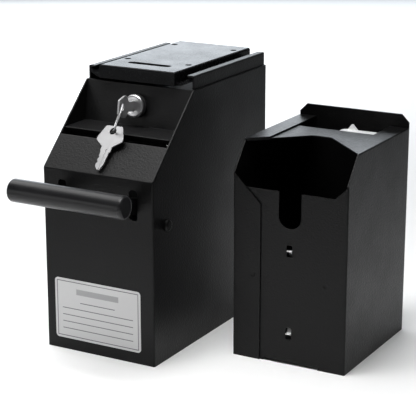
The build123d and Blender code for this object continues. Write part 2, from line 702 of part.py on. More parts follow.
def lever_arm(side):
    """Cranked flat arm: grip, wall slot, pivot, then up to the finger behind the chute."""
    x0 = side * ARM_OFFSET - ARM_THICKNESS / 2
    x1 = side * ARM_OFFSET + ARM_THICKNESS / 2
    grip = (GRIP_Y, GRIP_HEIGHT)
    bend = (ARM_BEND_Y, ARM_BEND_HEIGHT)
    pivot = (PIVOT_Y, PIVOT_HEIGHT)
    tip = (FINGER_TIP_Y, FINGER_TIP_HEIGHT)
    arm = bar_shape(grip, bend, ARM_GRIP_END_RADIUS, ARM_HALF_HEIGHT, x0, x1)
    arm += bar_shape(bend, pivot, ARM_HALF_HEIGHT, ARM_HALF_HEIGHT + 1, x0, x1)
    arm += bar_shape(pivot, tip, FINGER_HALF_HEIGHT, FINGER_TIP_RADIUS, x0, x1)
    arm -= rod(PIVOT_BORE, x0 - 1, x1 + 1, *pivot)
    arm -= rod(GRIP_CORE_DIAMETER + 2 * GRIP_CORE_FIT, x0 - 1, x1 + 1, *grip)
    beyond = chute_strip(tip_along(), FINGER_HALF_HEIGHT, -BLADE_HEIGHT, 3 * BLADE_HEIGHT, HALF_WIDTH)
    return arm - beyond


def pivot_sleeve():
    """Tube on the pivot shaft that ties the two arms together."""
    half = ARM_OFFSET - ARM_THICKNESS / 2
    tube = rod(PIVOT_SLEEVE_DIAMETER, -half, half, PIVOT_Y, PIVOT_HEIGHT)
    return tube - rod(PIVOT_BORE, -half - 1, half + 1, PIVOT_Y, PIVOT_HEIGHT)


def grip_tube():
    """Black tube of the push bar, notched at the back for the two arms."""
    half = GRIP_LENGTH / 2 - GRIP_CAP_THICKNESS
    tube = rod(GRIP_DIAMETER, -half, half, GRIP_Y, GRIP_HEIGHT)
    tube -= rod(GRIP_DIAMETER - 2 * GRIP_WALL, -half - 1, half + 1, GRIP_Y, GRIP_HEIGHT)
    for side in (-1, 1):
        x0 = side * ARM_OFFSET - ARM_THICKNESS / 2 - 0.1
        tube -= bar_shape(
            (GRIP_Y, GRIP_HEIGHT), (ARM_BEND_Y, ARM_BEND_HEIGHT),
            ARM_GRIP_END_RADIUS + 0.1, ARM_HALF_HEIGHT + 0.1, x0, x0 + ARM_THICKNESS + 0.2,
        )
    return tube


def grip_cap(side):
    """End cap with a rounded rim and a spigot inside the tube."""
    outer = GRIP_LENGTH / 2
    flange = rod(GRIP_DIAMETER, outer - GRIP_CAP_THICKNESS, outer, GRIP_Y, GRIP_HEIGHT)
    rim = flange.edges().filter_by(GeomType.CIRCLE).sort_by(Axis.X)[-1]
    flange = fillet([rim], GRIP_CAP_ROUNDING)
    spigot_radius = GRIP_DIAMETER / 2 - GRIP_WALL - 0.1
    inner = outer - GRIP_CAP_THICKNESS - GRIP_CAP_SPIGOT
    spigot = rod(2 * spigot_radius, inner, outer - GRIP_CAP_THICKNESS, GRIP_Y, GRIP_HEIGHT)
    hole = GRIP_CORE_DIAMETER + 2 * GRIP_CORE_FIT
    bore = rod(hole, inner - 1, outer - GRIP_CAP_THICKNESS, GRIP_Y, GRIP_HEIGHT)
    cap = flange + spigot - bore
    return cap if side > 0 else mirror(cap, Plane.YZ)


def grip_core():
    half = GRIP_LENGTH / 2 - GRIP_CAP_THICKNESS
    return rod(GRIP_CORE_DIAMETER, -half, half, GRIP_Y, GRIP_HEIGHT)


def tip_along():
    """Distance down the chute of the finger tips' flat end."""
    y = FINGER_TIP_Y - CHUTE_START_Y
    z = FINGER_TIP_HEIGHT - CHUTE_START_HEIGHT
    return y * CHUTE_Y + z * CHUTE_Z + FINGER_TIP_FLAT


def chute_strip(along, thickness, lift, height, half):
    """Strip across the chute, standing square to it."""
    corners = [(along, lift), (along + thickness, lift), (along + thickness, lift + height), (along, lift + height)]
    return side_shape([chute_point(*corner) for corner in corners], -half, half)


def pusher_blade():
    """Strip across the two fingers that drives the notes down the chute."""
    return chute_strip(tip_along(), BLADE_SHEET, BLADE_CHUTE_GAP, BLADE_HEIGHT, BLADE_WIDTH / 2)


def pusher_pad():
    """Rubber strip on the back of the pusher blade."""
    half = BLADE_WIDTH / 2 - PAD_END_INSET
    return chute_strip(tip_along() + BLADE_SHEET, PAD_THICKNESS, PAD_CHUTE_GAP, PAD_HEIGHT, half)


def biarc(p0, t0, p1, t1):
    """Two arcs that join two points and keep both directions."""
    v = p1 - p0
    t = t0 + t1
    turn = 2 * (1 - t0.dot(t1))
    d = (-v.dot(t) + sqrt(v.dot(t) ** 2 + turn * v.dot(v))) / turn
    q0, q1 = p0 + t0 * d, p1 - t1 * d
    middle = (q0 + q1) / 2
    heading = (q1 - q0).normalized()
    return [TangentArc(p0, middle, tangent=t0), TangentArc(middle, p1, tangent=heading)]


def return_spring():
    """Torsion spring on the sleeve: hooked over the left arm's finger, braced on the front wall."""
    dy, dz = finger_direction()
    start_angle = atan2(dy, -dz)
    end_angle = radians(SPRING_LEG_ANGLE) + 2 * pi * SPRING_TURNS
    x_start = -ARM_OFFSET + ARM_THICKNESS / 2 + SPRING_START_GAP
    rise = SPRING_PITCH / (2 * pi)

    def place(angle):
        x = x_start + rise * (angle - start_angle)
        return Vector(x, PIVOT_Y + SPRING_RADIUS * cos(angle), PIVOT_HEIGHT + SPRING_RADIUS * sin(angle))

    def heading(angle):
        return Vector(rise, -SPRING_RADIUS * sin(angle), SPRING_RADIUS * cos(angle)).normalized()

    pieces = ceil((end_angle - start_angle) / (pi / 2))
    step = (end_angle - start_angle) / pieces
    coil = []
    for i in range(pieces):
        a0, a1 = start_angle + i * step, start_angle + (i + 1) * step
        coil += biarc(place(a0), heading(a0), place(a1), heading(a1))
    finger_leg = 16.0
    corner = place(start_angle) - heading(start_angle) * finger_leg
    hook_end = corner - Vector(SPRING_HOOK, 0, 0)
    leg = FilletPolyline(hook_end, corner, place(start_angle), radius=SPRING_HOOK_RADIUS)
    wall_gap = SHEET + SPRING_WIRE / 2 + STOP_GAP
    end, out = place(end_angle), heading(end_angle)
    front_leg = Line(end, end + out * ((wall_gap - end.Y) / out.Y))
    path = Wire(list(leg.edges()) + coil + [front_leg])
    count = 40 * SPRING_TURNS
    points = [path @ ((i + 0.5) / count) for i in range(count)]
    apart = path.length / count
    skip = ceil(pi * SPRING_RADIUS / apart)
    least = min((points[i] - points[j]).length for i in range(count) for j in range(i + skip, count))
    print("return_spring: least gap to itself", round(least - SPRING_WIRE, 2), "mm")
    return sweep(Plane(origin=path @ 0, z_dir=path % 0) * Circle(SPRING_WIRE / 2), path)


def pivot_shaft():
    return rod(PIVOT_DIAMETER, -HALF_WIDTH - 1.2, HALF_WIDTH + 1.2, PIVOT_Y, PIVOT_HEIGHT)


def shaft_caps():
    """Push-on caps on the pivot shaft's two ends, outside the side walls."""
    caps = []
    for side in (-1, 1):
        cap = Cylinder(SHAFT_CAP_DIAMETER / 2, SHAFT_CAP_HEIGHT)
        cap = fillet(cap.edges().group_by(Axis.Z)[-1], 1.4)
        cap -= Pos(0, 0, -SHAFT_CAP_HEIGHT / 2) * Cylinder(PIVOT_DIAMETER / 2, 2.4)
        x = side * (HALF_WIDTH + SHAFT_CAP_HEIGHT / 2)
        caps.append(Pos(x, PIVOT_Y, PIVOT_HEIGHT) * Rot(0, side * 90, 0) * cap)
    return Compound(children=caps)


def label_plate():
    face = RectangleRounded(LABEL_WIDTH, LABEL_HEIGHT, LABEL_CORNER)
    plane = Plane(origin=(LABEL_CENTRE_X, 0, LABEL_CENTRE_HEIGHT), x_dir=(1, 0, 0), z_dir=(0, -1, 0))
    return extrude(plane * face, amount=LABEL_THICKNESS)


def counter_bracket():
    """Hat-shaped bracket that is screwed under the counter; its flanges run in the rails."""
    half = BRACKET_WIDTH / 2
    top = RAIL_TOP + BRACKET_RISE
    low = SLOPE_TOP_HEIGHT + BRACKET_FLOOR_GAP
    t = BRACKET_SHEET
    reach = INNER_HALF - SHEET - BRACKET_RUNNING_GAP
    rise_top = RAIL_TOP - SHEET - BRACKET_RUNNING_GAP
    bend_x = half + BRACKET_FLAT_FLANGE
    rear = HOUSING_DEPTH - BRACKET_REAR_INSET
    side_front = BRACKET_FRONT + t + BRACKET_CORNER_GAP
    hat = block(-half, half, BRACKET_FRONT, rear, top - t, top)
    hat += block(-half, half, BRACKET_FRONT, BRACKET_FRONT + t, low, top)
    ramp_run = reach - bend_x
    ramp_rise = rise_top - low - t
    ramp_length = hypot(ramp_run, ramp_rise)
    shift = t * (ramp_length - ramp_run) / ramp_rise
    for side in (-1, 1):
        flange = front_shape(
            [
                (side * half, top),
                (side * half, low + t),
                (side * (bend_x - shift), low + t),
                (side * (reach - t * ramp_rise / ramp_length), rise_top),
                (side * reach, rise_top - t * ramp_run / ramp_length),
                (side * bend_x, low),
                (side * (half - t), low),
                (side * (half - t), top),
            ],
            side_front,
            rear,
        )
        hat += flange
    long_edges = [
        e for e in hat.edges() if abs(e.center().Z - top) < 0.01 and (
            abs(abs(e.center().X) - half) < 0.01 or abs(e.center().Y - BRACKET_FRONT) < 0.01)
    ]
    hat = fillet(long_edges, BEND_RADIUS)
    row = rear - BOLT_REAR_INSET - BOLT_SPACING_Y
    for x in (-BOLT_SPACING_X / 2, BOLT_SPACING_X / 2):
        for y in (row, row + BOLT_SPACING_Y):
            hat -= Pos(x, y, top) * Cylinder(BOLT_HOLE_DIAMETER / 2, 4 * t)
    slot = extrude(SlotOverall(BRACKET_SLOT_LENGTH, BRACKET_SLOT_WIDTH), amount=2 * t, both=True)
    hat -= Pos(0, BRACKET_FRONT + BRACKET_SLOT_SETBACK, top) * slot
    tab_rear = BRACKET_FRONT + BRACKET_SLOT_SETBACK - BRACKET_SLOT_WIDTH / 2
    tab_half = LOCK_TAB_WIDTH / 2
    hat += block(-tab_half, tab_half, tab_rear - t, tab_rear, top - t - LOCK_TAB_DROP, top - t)
    corners = [
        e for e in hat.edges().filter_by(Axis.Z)
        if abs(e.center().Y - rear) < 0.01 and abs(abs(e.center().X) - reach) < 0.5
    ]
    return chamfer(corners, 1.0) if corners else hat


def cassette_side_outline():
    rear = CASSETTE_Y + CASSETTE_DEPTH - CASSETTE_SHEET
    return [
        (CASSETTE_Y, 0),
        (CASSETTE_Y, CASSETTE_KNEE),
        (CASSETTE_Y + CASSETTE_SLOPE_RUN, CASSETTE_TOP),
        (rear, CASSETTE_TOP),
        (rear, 0),
    ]


def mouth_cut():
    """Note mouth in the cassette's top: a wide V with a flat, rounded bottom."""
    front = CASSETTE_Y + CASSETTE_SLOPE_RUN
    half = CASSETTE_WIDTH / 2
    outline = make_face(
        Polyline(
            (CASSETTE_X - half - 1, front - 30),
            (CASSETTE_X + half + 1, front - 30),
            (CASSETTE_X + half + 1, front - 1),
            (CASSETTE_X + MOUTH_FLAT / 2, front + MOUTH_DEPTH),
            (CASSETTE_X - MOUTH_FLAT / 2, front + MOUTH_DEPTH),
            (CASSETTE_X - half - 1, front - 1),
            close=True,
        )
    )
    bottom = outline.vertices().sort_by(Axis.Y)[-2:]
    outline = fillet(bottom, MOUTH_ROUNDING)
    return extrude(Pos(0, 0, CASSETTE_TOP - 3) * outline, amount=8)


def front_holes():
    """Finger notch, the two leaf-spring slots and the recess at the foot of the front plate."""
    y0, y1 = CASSETTE_Y - 1, CASSETTE_Y + 4
    radius = NOTCH_WIDTH / 2
    notch = block(
        CASSETTE_X - radius, CASSETTE_X + radius, y0, y1, NOTCH_BOTTOM + radius, CASSETTE_KNEE + 1
    )
    notch += Pos(CASSETTE_X, (y0 + y1) / 2, NOTCH_BOTTOM + radius) * Rot(90, 0, 0) * Cylinder(radius, y1 - y0)
    cuts = notch
    for z in (LEAF_SLOT_LOW, LEAF_SLOT_HIGH):
        slot = block(
            CASSETTE_X - LEAF_SLOT_WIDTH / 2, CASSETTE_X + LEAF_SLOT_WIDTH / 2, y0, y1,
            z - LEAF_SLOT_HEIGHT / 2, z + LEAF_SLOT_HEIGHT / 2,
        )
        cuts += fillet(slot.edges().filter_by(Axis.Y), LEAF_SLOT_ROUNDING)
    half = FOOT_RECESS_WIDTH / 2
    middle = CASSETTE_X + FOOT_RECESS_OFFSET
    cuts += block(middle - half, middle + half, y0, y1, -1, FOOT_RECESS_HEIGHT)
    return cuts


def weld_dimple(side, y):
    """Shallow dent that a spot weld leaves on the front."""
    x = CASSETTE_X + side * WELD_DIMPLE_X
    return Pos(x, y + WELD_DIMPLE_DEPTH - WELD_DIMPLE_RADIUS, WELD_DIMPLE_HEIGHT) * Sphere(WELD_DIMPLE_RADIUS)


def cassette_body():
    """Right wall, front plate and top plate of the cassette, folded from one sheet."""
    t = CASSETTE_SHEET
    half = CASSETTE_WIDTH / 2
    right, left = CASSETTE_X + half, CASSETTE_X - half
    wall = side_shape(cassette_side_outline(), right - t, right)
    plate_left = left + t
    front = front_shape(
        [
            (plate_left, 0),
            (plate_left, FRONT_EDGE_HEIGHT),
            (right - FRONT_CORNER_CUT, FRONT_EDGE_HEIGHT),
            (right, CASSETTE_KNEE),
            (right, 0),
        ],
        CASSETTE_Y + t,
        CASSETTE_Y + 2 * t,
    )
    corner = block(right - t, right, CASSETTE_Y, CASSETTE_Y + t, 0, CASSETTE_KNEE)
    body = wall + front - corner
    mouth_front = CASSETTE_Y + CASSETTE_SLOPE_RUN
    rear = CASSETTE_Y + CASSETTE_DEPTH - t
    top_rear = CASSETTE_Y + CASSETTE_DEPTH - TOP_PLATE_SETBACK
    top = block(plate_left, right, mouth_front, top_rear, CASSETTE_TOP - t, CASSETTE_TOP)
    top += block(right - TOP_FLANGE - 1, right, top_rear, rear, CASSETTE_TOP - t, CASSETTE_TOP)
    body += top - mouth_cut()
    outer = [
        e for e in body.edges().filter_by(Axis.Z)
        if abs(e.center().X - right) < 0.01 and abs(e.center().Y - CASSETTE_Y - t) < 0.01
    ]
    outer += [
        e for e in body.edges().filter_by(Axis.Y)
        if abs(e.center().X - right) < 0.01 and abs(e.center().Z - CASSETTE_TOP) < 0.01
    ]
    body = fillet(outer, t * 0.9)
    return body - front_holes() - weld_dimple(1, CASSETTE_Y + t)


def cassette_left_side():
    """Left wall with its front flap and top flange lapped over the body."""
    t = CASSETTE_SHEET
    left = CASSETTE_X - CASSETTE_WIDTH / 2
    wall = side_shape(cassette_side_outline(), left, left + t)
    seam = left + FLAP_WIDTH
    flap = front_shape(
        [
            (left, 0),
            (left, CASSETTE_KNEE),
            (left + FRONT_CORNER_CUT, FRONT_EDGE_HEIGHT),
            (seam, FRONT_EDGE_HEIGHT - FLAP_CHAMFER),
            (seam, 0),
        ],
        CASSETTE_Y,
        CASSETTE_Y + t,
    )
    mouth_front = CASSETTE_Y + CASSETTE_SLOPE_RUN
    rear = CASSETTE_Y + CASSETTE_DEPTH - t
    flange = block(left, left + TOP_FLANGE, mouth_front, rear, CASSETTE_TOP, CASSETTE_TOP + t)
    riser = block(left, left + t, mouth_front, rear, CASSETTE_TOP - t, CASSETTE_TOP + t)
    side = wall + flap + riser + (flange - mouth_cut())
    outer = [
        e for e in side.edges().filter_by(Axis.Z)
        if abs(e.center().X - left) < 0.01 and abs(e.center().Y - CASSETTE_Y) < 0.01
    ]
    side = fillet(outer, t * 0.9)
    return side - weld_dimple(-1, CASSETTE_Y)


def cassette_floor():
    t = CASSETTE_SHEET
    half = CASSETTE_WIDTH / 2 - t
    y0, y1 = CASSETTE_Y + 2 * t, CASSETTE_Y + CASSETTE_DEPTH - t
    z0 = CASSETTE_FLOOR_LIFT
    return block(CASSETTE_X - half, CASSETTE_X + half, y0, y1, z0, z0 + t)


def cassette_rear_panel():
    """Tall rear panel with clipped top corners."""
    half = CASSETTE_WIDTH / 2
    cut = REAR_PANEL_CHAMFER
    rear = CASSETTE_Y + CASSETTE_DEPTH
    x0, x1 = CASSETTE_X - half, CASSETTE_X + half
    high = REAR_PANEL_HEIGHT
    return front_shape(
        [(x0, 0), (x0, high - cut), (x0 + cut, high), (x1 - cut, high), (x1, high - cut), (x1, 0)],
        rear - CASSETTE_SHEET,
        rear,
    )


def detent_spring():
    """Bright leaf under the top plate, with a raised peak that clicks behind the keeper."""
    x0 = CASSETTE_X + DETENT_LEFT
    y1 = CASSETTE_Y + DETENT_TAIL
    y0 = y1 - DETENT_LENGTH
    z1 = CASSETTE_TOP - CASSETTE_SHEET
    leaf = block(x0, x0 + DETENT_WIDTH, y0, y1, z1 - DETENT_SHEET, z1)
    tail = [e for e in leaf.edges().filter_by(Axis.Z) if abs(e.center().Y - y1) < 0.01]
    leaf = fillet(tail, DETENT_CORNER)
    left = x0 + DETENT_PEAK_LEFT
    peak = front_shape(
        [(left, z1 - DETENT_SHEET), (left + DETENT_PEAK_WIDTH, z1 - DETENT_SHEET),
         (left + DETENT_PEAK_WIDTH * 0.55, z1 + DETENT_PEAK_HEIGHT),
         (left + DETENT_PEAK_WIDTH * 0.4, z1 + DETENT_PEAK_HEIGHT)],
        y1 - DETENT_SHEET,
        y1,
    )
    return leaf + peak


def note_leaf():
    """Bowed leaf spring inside the front plate; its two ends show in the front slots."""
    inner = CASSETTE_Y + 2 * CASSETTE_SHEET
    middle = (LEAF_SLOT_LOW + LEAF_SLOT_HIGH) / 2
    half = LEAF_WIDTH / 2
    t = LEAF_SHEET
    bow = make_face(
        ThreePointArc((inner, LEAF_SLOT_LOW), (inner + LEAF_BOW, middle), (inner, LEAF_SLOT_HIGH))
        + Line((inner, LEAF_SLOT_HIGH), (inner, LEAF_SLOT_HIGH + t))
        + ThreePointArc((inner, LEAF_SLOT_HIGH + t), (inner + LEAF_BOW + t, middle), (inner, LEAF_SLOT_LOW - t))
        + Line((inner, LEAF_SLOT_LOW - t), (inner, LEAF_SLOT_LOW))
    )
    leaf = extrude(Plane.YZ.offset(CASSETTE_X - half) * bow, amount=LEAF_WIDTH)
    front = CASSETTE_Y + LEAF_END_INSET
    for z in (LEAF_SLOT_LOW - t, LEAF_SLOT_HIGH):
        leaf += block(CASSETTE_X - half, CASSETTE_X + half, front, inner + t / 2, z, z + t)
    return leaf


def main():
    os.makedirs("parts", exist_ok=True)
    write("housing_wrap", housing_wrap())
    write("housing_floor", housing_floor())
    write("lock_panel", lock_panel())
    write("top_tray", top_tray())
    write("rear_header", rear_header())
    write("note_chute", note_chute())
    write("stop_bar", stop_bar())
    write("cassette_stop", cassette_stop())
    write("detent_keeper", detent_keeper())
    write("lock_carrier", lock_carrier())
    write("lock_barrel", lock_barrel())
    write("lock_spacer", lock_tube(HEAD_DIAMETER - 1, BARREL_DIAMETER, 0, HEAD_BACK))
    washer_front = -2 * SHEET
    washer = lock_tube(WASHER_DIAMETER, BARREL_DIAMETER, washer_front - WASHER_THICKNESS, washer_front)
    write("lock_washer", washer)
    write("lock_nut", lock_nut())
    write("lock_plug", lock_plug())
    write("lock_cam", lock_cam())
    write("cam_screw", cam_screw())
    write("key_in_lock", key_in_lock())
    write("key_ring", key_ring())
    write("spare_key", spare_key())
    write("label_plate", label_plate())
    write("lever_pivot_shaft", pivot_shaft())
    write("shaft_caps", shaft_caps())
    write("pivot_sleeve", pivot_sleeve())
    write("left_lever_arm", lever_arm(-1))
    write("right_lever_arm", lever_arm(1))
    write("grip_tube", grip_tube())
    write("grip_core", grip_core())
    write("left_grip_cap", grip_cap(-1))
    write("right_grip_cap", grip_cap(1))
    write("pusher_blade", pusher_blade())
    write("pusher_pad", pusher_pad())
    write("return_spring", return_spring())
    write("counter_bracket", counter_bracket())
    write("cassette_body", cassette_body())
    write("cassette_left_side", cassette_left_side())
    write("cassette_floor", cassette_floor())
    write("cassette_rear_panel", cassette_rear_panel())
    write("detent_spring", detent_spring())
    write("note_leaf", note_leaf())


main()
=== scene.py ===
"""Under-counter note safe: its finishes, its printed label, and the studio's floor, lights and camera."""

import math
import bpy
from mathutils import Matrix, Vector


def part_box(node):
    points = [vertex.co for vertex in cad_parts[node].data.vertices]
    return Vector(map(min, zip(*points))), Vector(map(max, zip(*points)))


bl_info = {
    "name": "Under-counter note safe",
    "version": (1, 0, 0),
    "blender": (4, 5, 0),
    "location": "3D View > Sidebar > Note safe",
    "description": "Dresses the steel safe, its lever, lock, keys and note cassette, and sets the studio",
    "category": "Object",
}

import bmesh
import bpy
from bpy.props import FloatProperty, FloatVectorProperty, IntProperty, PointerProperty
from mathutils import Vector

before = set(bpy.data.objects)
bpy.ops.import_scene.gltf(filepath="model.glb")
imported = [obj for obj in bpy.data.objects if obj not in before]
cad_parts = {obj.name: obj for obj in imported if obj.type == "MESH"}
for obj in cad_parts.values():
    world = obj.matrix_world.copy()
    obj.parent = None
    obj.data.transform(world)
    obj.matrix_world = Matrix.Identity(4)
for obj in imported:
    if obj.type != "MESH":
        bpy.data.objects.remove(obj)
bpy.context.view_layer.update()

MM = 0.001
HOUSING_NODES = (
    "housing_floor", "top_tray", "rear_header", "cassette_stop", "detent_keeper", "lock_carrier",
    "note_chute", "stop_bar",
)
CASSETTE_NODES = ("cassette_body", "cassette_left_side", "cassette_floor", "cassette_rear_panel")
ZINC_NODES = (
    "lock_washer", "lock_cam", "cam_screw", "lever_pivot_shaft", "pivot_sleeve", "grip_core",
    "pusher_blade", "return_spring",
)
ARM_NODES = ("left_lever_arm", "right_lever_arm")
SPRING_NODES = ("detent_spring", "note_leaf")
CHROME_NODES = ("lock_barrel", "lock_plug", "lock_nut")
GRIP_NODES = ("grip_tube", "left_grip_cap", "right_grip_cap")

# Height of the bend at the front's top, and the depth at which the inside of the wrap begins
KNEE_HEIGHT = 151.0 * MM
INSIDE_DEPTH = 0.001

# Printed form, measured from the label's edges and its middle
LINE_WIDTH = 0.0007
BORDER_INSET = 2.2 * MM
HEADING_DROP = 10.0 * MM
HEADING_HALF_HEIGHT = 2.4 * MM
HEADING_HALF_WIDTH = 20.0 * MM
HEADING_INK = 0.55
FIRST_RULE_DROP = 19.0 * MM
FIRST_RULE_MARGIN = 24.0 * MM
RULE_MARGIN = 7.0 * MM

# Share of each noise in a tone, and the tones that the roughness spans
FLECK_SHARE = 0.35
MOTTLE_SHARE = 0.65
STREAK_SHARE = 0.5
CLOUD_SHARE = 0.5
TONE_RANGE = (0.25, 0.75)

# Darkest and lightest shade, and smoothest and roughest finish
COAT_SHADES = (0.4, 1.7)
COAT_ROUGHNESS_STEPS = (-0.08, 0.10)
METAL_SHADES = (0.88, 1.06)
METAL_ROUGHNESS_SHARES = (0.75, 1.3)
LABEL_SHADES = (0.96, 1.03)
FLOOR_SHADES = (0.98, 1.02)
FLOOR_ROUGHNESS = (0.7, 0.8)

# Bumps: strength, and height in metres
COAT_BUMP = (0.8, 0.00028)
CASSETTE_BUMP = (0.8, 0.0004)
BRACKET_BUMP = (0.2, 0.00005)
GRIP_BUMP = (0.25, 0.00005)
DRAWN_BUMP = (0.2, 0.00003)
LOCK_BUMP = (0.05, 0.00001)
KEY_BUMP = (0.06, 0.00001)
LABEL_BUMP = (0.1, 0.00002)
FLOOR_BUMP = (0.02, 0.00002)

# Painted shade: near-black colour mixed into the wrap's paint inside the housing, where shade falls
INSIDE_PAINTED_SHADE = (0.0005, 0.0005, 0.0005, 1.0)
SPACER_BLACK = (0.012, 0.012, 0.012, 1.0)
GRIP_BLACK = (0.009, 0.009, 0.0098, 1.0)
ARM_BLACK = (0.0015, 0.0015, 0.0016, 1.0)
RUBBER_BLACK = (0.02, 0.02, 0.02, 1.0)

# Camera: place and clip in metres, tilt and turn in degrees, shift in frame widths
CAMERA_PLACE = (0.6335, -1.0445, 0.4557)
CAMERA_TILT = 73.85
CAMERA_TURN = 29.30
CAMERA_SHIFT = (-0.0017, -0.005)
CAMERA_CLIP = (0.05, 50.0)
SENSOR_WIDTH = 36.0

# Floor: metres from its middle to its edge, and squares along one side
FLOOR_REACH = 6.0
FLOOR_SQUARES = 8

WHITE = (1.0, 1.0, 1.0)
COOL = (0.88, 0.94, 1.0)
# Name, place, aim and size in metres, watts, spread in degrees and colour
LIGHTS = (
    ("Overhead softbox", (0.05, 0.20, 1.25), (0.05, 0.20, 0.0), (0.7, 0.7), 0.6, 70.0, WHITE),
    ("Table softbox", (0.05, -0.30, 1.25), (0.05, -0.20, 0.0), (0.6, 0.4), 1.85, 60.0, WHITE),
    ("Upper left softbox", (-0.75, 0.15, 1.10), (0.0, 0.0, 0.10), (0.8, 0.8), 6.2, 180.0, WHITE),
    ("Slope softbox", (-0.30, -0.42, 1.15), (0.0, -0.05, 0.17), (0.3, 0.3), 2.4, 180.0, WHITE),
    ("Rear softbox", (-0.95, 1.55, 0.62), (0.0, 0.0, 0.20), (2.4, 0.95), 21.0, 180.0, COOL),
    ("Low front fill", (-0.70, -1.30, 0.25), (0.0, 0.0, 0.10), (0.5, 0.4), 1.2, 180.0, WHITE),
    ("Back table softbox", (-0.85, 0.95, 1.25), (-0.75, 0.80, 0.0), (0.8, 0.8), 3.5, 60.0, WHITE),
)


class SafePaintSettings(bpy.types.PropertyGroup):
    """Powder coat on the housing, the bracket and the cassette."""

    housing_colour: FloatVectorProperty(
        name="Housing", description="Colour of the housing's powder coat",
        subtype="COLOR", size=4, min=0.0, max=1.0, default=(0.0032, 0.0032, 0.0033, 1.0))
    bracket_colour: FloatVectorProperty(
        name="Bracket", description="Colour of the counter bracket's powder coat",
        subtype="COLOR", size=4, min=0.0, max=1.0, default=(0.0040, 0.0042, 0.0048, 1.0))
    cassette_colour: FloatVectorProperty(
        name="Cassette", description="Colour of the cassette's powder coat",
        subtype="COLOR", size=4, min=0.0, max=1.0, default=(0.0035, 0.0035, 0.0036, 1.0))
    housing_roughness: FloatProperty(
        name="Housing roughness", description="How matt the housing's coat is",
        subtype="FACTOR", min=0.05, max=1.0, default=0.36)
    bracket_roughness: FloatProperty(
        name="Bracket roughness", description="How matt the bracket's coat is",
        subtype="FACTOR", min=0.05, max=1.0, default=0.24)
    cassette_roughness: FloatProperty(
        name="Cassette roughness", description="How matt the cassette's coat is",
        subtype="FACTOR", min=0.05, max=1.0, default=0.34)
    grain_per_metre: FloatProperty(
        name="Grain", description="Orange-peel grains in one metre of coat",
        min=100.0, max=4000.0, default=650.0)
    edge_radius: FloatProperty(
        name="Edge", description="Rounding that the coat gives to cut edges",
        subtype="DISTANCE", unit="LENGTH", min=0.0, max=0.002, default=0.0006)


class SafeMetalSettings(bpy.types.PropertyGroup):
    """Bare and plated metal."""

    zinc_colour: FloatVectorProperty(
        name="Zinc", description="Colour of the zinc-plated steel inside",
        subtype="COLOR", size=4, min=0.0, max=1.0, default=(0.56, 0.56, 0.57, 1.0))
    spring_colour: FloatVectorProperty(
        name="Spring steel", description="Colour of the bright leaf springs",
        subtype="COLOR", size=4, min=0.0, max=1.0, default=(0.92, 0.92, 0.92, 1.0))
    chrome_colour: FloatVectorProperty(
        name="Chrome", description="Colour of the lock's chrome",
        subtype="COLOR", size=4, min=0.0, max=1.0, default=(0.60, 0.60, 0.61, 1.0))
    nickel_colour: FloatVectorProperty(
        name="Nickel", description="Colour of the keys and their ring",
        subtype="COLOR", size=4, min=0.0, max=1.0, default=(0.38, 0.38, 0.385, 1.0))


class SafeLabelSettings(bpy.types.PropertyGroup):
    """The plain form printed on the label plate."""

    paper_colour: FloatVectorProperty(
        name="Face", description="Colour of the label's face",
        subtype="COLOR", size=4, min=0.0, max=1.0, default=(0.66, 0.66, 0.66, 1.0))
    ink_colour: FloatVectorProperty(
        name="Ink", description="Colour of the border and the ruled lines",
        subtype="COLOR", size=4, min=0.0, max=1.0, default=(0.16, 0.16, 0.17, 1.0))
    rule_count: IntProperty(name="Rules", description="Number of ruled lines", min=1, max=12, default=5)
    rule_pitch: FloatProperty(
        name="Pitch", description="Distance between ruled lines",
        subtype="DISTANCE", unit="LENGTH", min=0.002, max=0.02, default=0.0058)


class SafeStageSettings(bpy.types.PropertyGroup):
    """Floor, surround and lens."""

    floor_colour: FloatVectorProperty(
        name="Floor", description="Colour of the pale floor",
        subtype="COLOR", size=4, min=0.0, max=1.0, default=(0.94, 0.94, 0.94, 1.0))
    surround_strength: FloatProperty(
        name="Surround", description="Brightness of the white surround", min=0.0, max=5.0, default=0.05)
    lens: FloatProperty(
        name="Lens", description="Focal length of the camera",
        unit="CAMERA", min=20.0, max=300.0, default=130.9)


def settings(name):
    """One of the scene's groups of settings."""
    return getattr(bpy.context.scene, "safe_" + name)


# Shader node helpers


def place(tree, kind, values=None, **attributes):
    """Add a node, set its attributes and its unlinked inputs, and link the inputs given as sockets."""
    node = tree.nodes.new(kind)
    for key, value in attributes.items():
        setattr(node, key, value)
    for key, value in (values or {}).items():
        if isinstance(value, bpy.types.NodeSocket):
            tree.links.new(value, node.inputs[key])
        else:
            node.inputs[key].default_value = value
    return node


def calculate(tree, operation, *values):
    """Output of a Math node with these numbers or sockets as its inputs."""
    return place(tree, "ShaderNodeMath", dict(enumerate(values)), operation=operation).outputs[0]


def mix_colours(tree, factor, first, second):
    """Colour between two colours, each given as a value or as a socket."""
    mixed = place(tree, "ShaderNodeMix", {"Factor": factor, "A": first, "B": second}, data_type="RGBA")
    return mixed.outputs["Result"]


def effect(name, inputs, outputs):
    """Start a shader node group with named inputs and outputs."""
    tree = bpy.data.node_groups.new(name, "ShaderNodeTree")
    for label, kind, default in inputs:
        socket = tree.interface.new_socket(label, in_out="INPUT", socket_type=kind)
        socket.default_value = default
    for label, kind in outputs:
        tree.interface.new_socket(label, in_out="OUTPUT", socket_type=kind)
    return tree, tree.nodes.new("NodeGroupInput").outputs, tree.nodes.new("NodeGroupOutput").inputs


